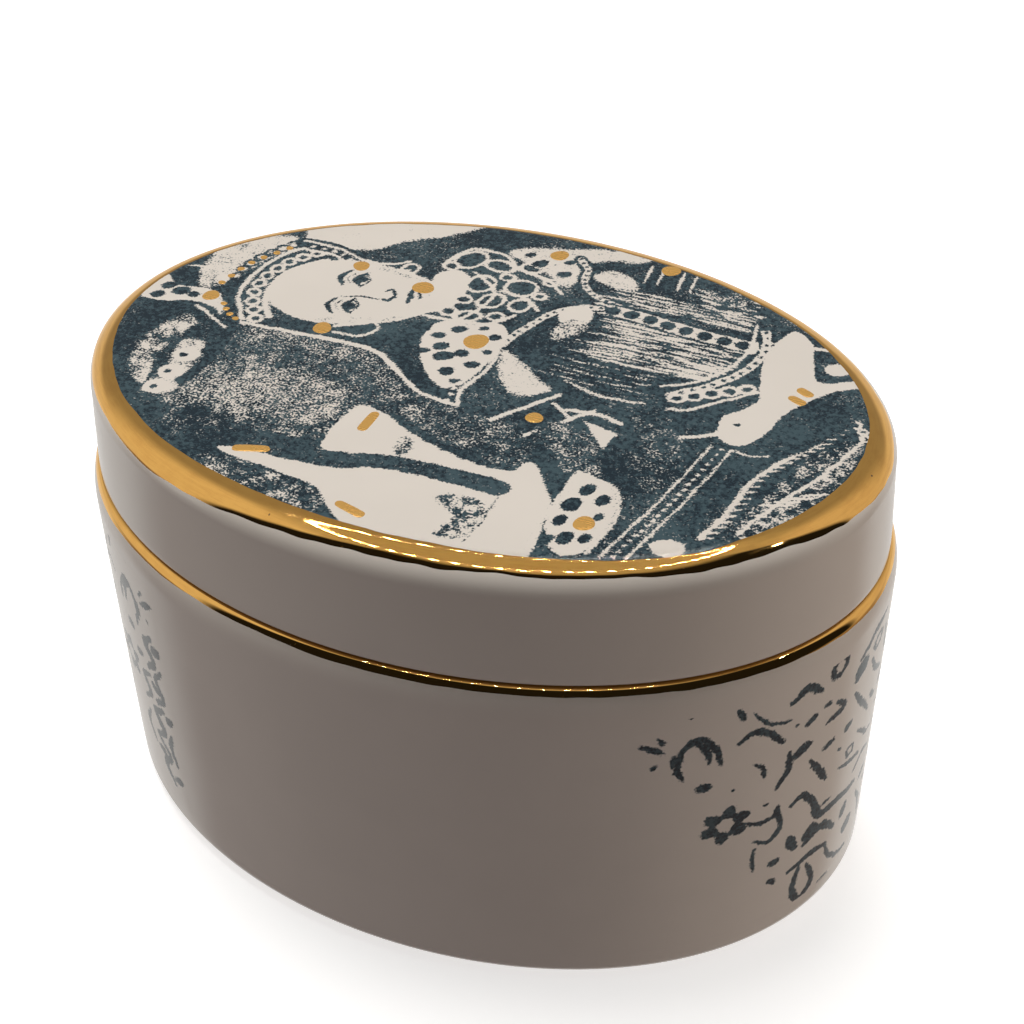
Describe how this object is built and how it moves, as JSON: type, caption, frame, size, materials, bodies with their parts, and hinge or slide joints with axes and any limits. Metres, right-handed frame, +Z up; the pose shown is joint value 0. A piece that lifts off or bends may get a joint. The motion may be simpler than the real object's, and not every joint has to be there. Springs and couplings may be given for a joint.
{
  "type": "porcelain trinket box",
  "caption": "Oval white porcelain trinket box with a lift-off lid, gold rims, a printed teal lid and prints round both ends.",
  "frame": {"origin": "middle of the foot ring's plane, under the middle of the oval", "axes": "+X along the long axis of the oval, +Y along its short axis, +Z up"},
  "size_m": [0.112, 0.0806, 0.0706],
  "materials": {
    "porcelain": "opaque white porcelain under a clear glossy glaze",
    "gold_lustre": "fired-on bright gold, hand painted, highly polished",
    "teal_print": "dark teal screen-printed transfer fused into the glaze, glossy"
  },
  "bodies": {
    "cup": {"cup": "porcelain", "cup_gold_line": "gold_lustre", "side_print_right": "teal_print", "side_print_left": "teal_print"},
    "lid": {"lid": "porcelain", "lid_gold_band": "gold_lustre", "lid_print": "teal_print", "gold_dot_1": "gold_lustre", "gold_dot_2": "gold_lustre", "gold_dot_3": "gold_lustre", "gold_dot_4": "gold_lustre", "gold_dot_5": "gold_lustre", "gold_dot_6": "gold_lustre", "gold_dot_7": "gold_lustre", "gold_dot_8": "gold_lustre", "gold_dot_9": "gold_lustre", "gold_dash_1": "gold_lustre", "gold_dash_2": "gold_lustre", "gold_dash_3": "gold_lustre", "gold_dash_4": "gold_lustre", "gold_dash_5": "gold_lustre"}
  },
  "joints": [
    {"name": "lid_lift", "type": "slide", "parent": "cup", "child": "lid", "axis": [0, 0, 1], "range_m": [0, 0.04]}
  ]
}
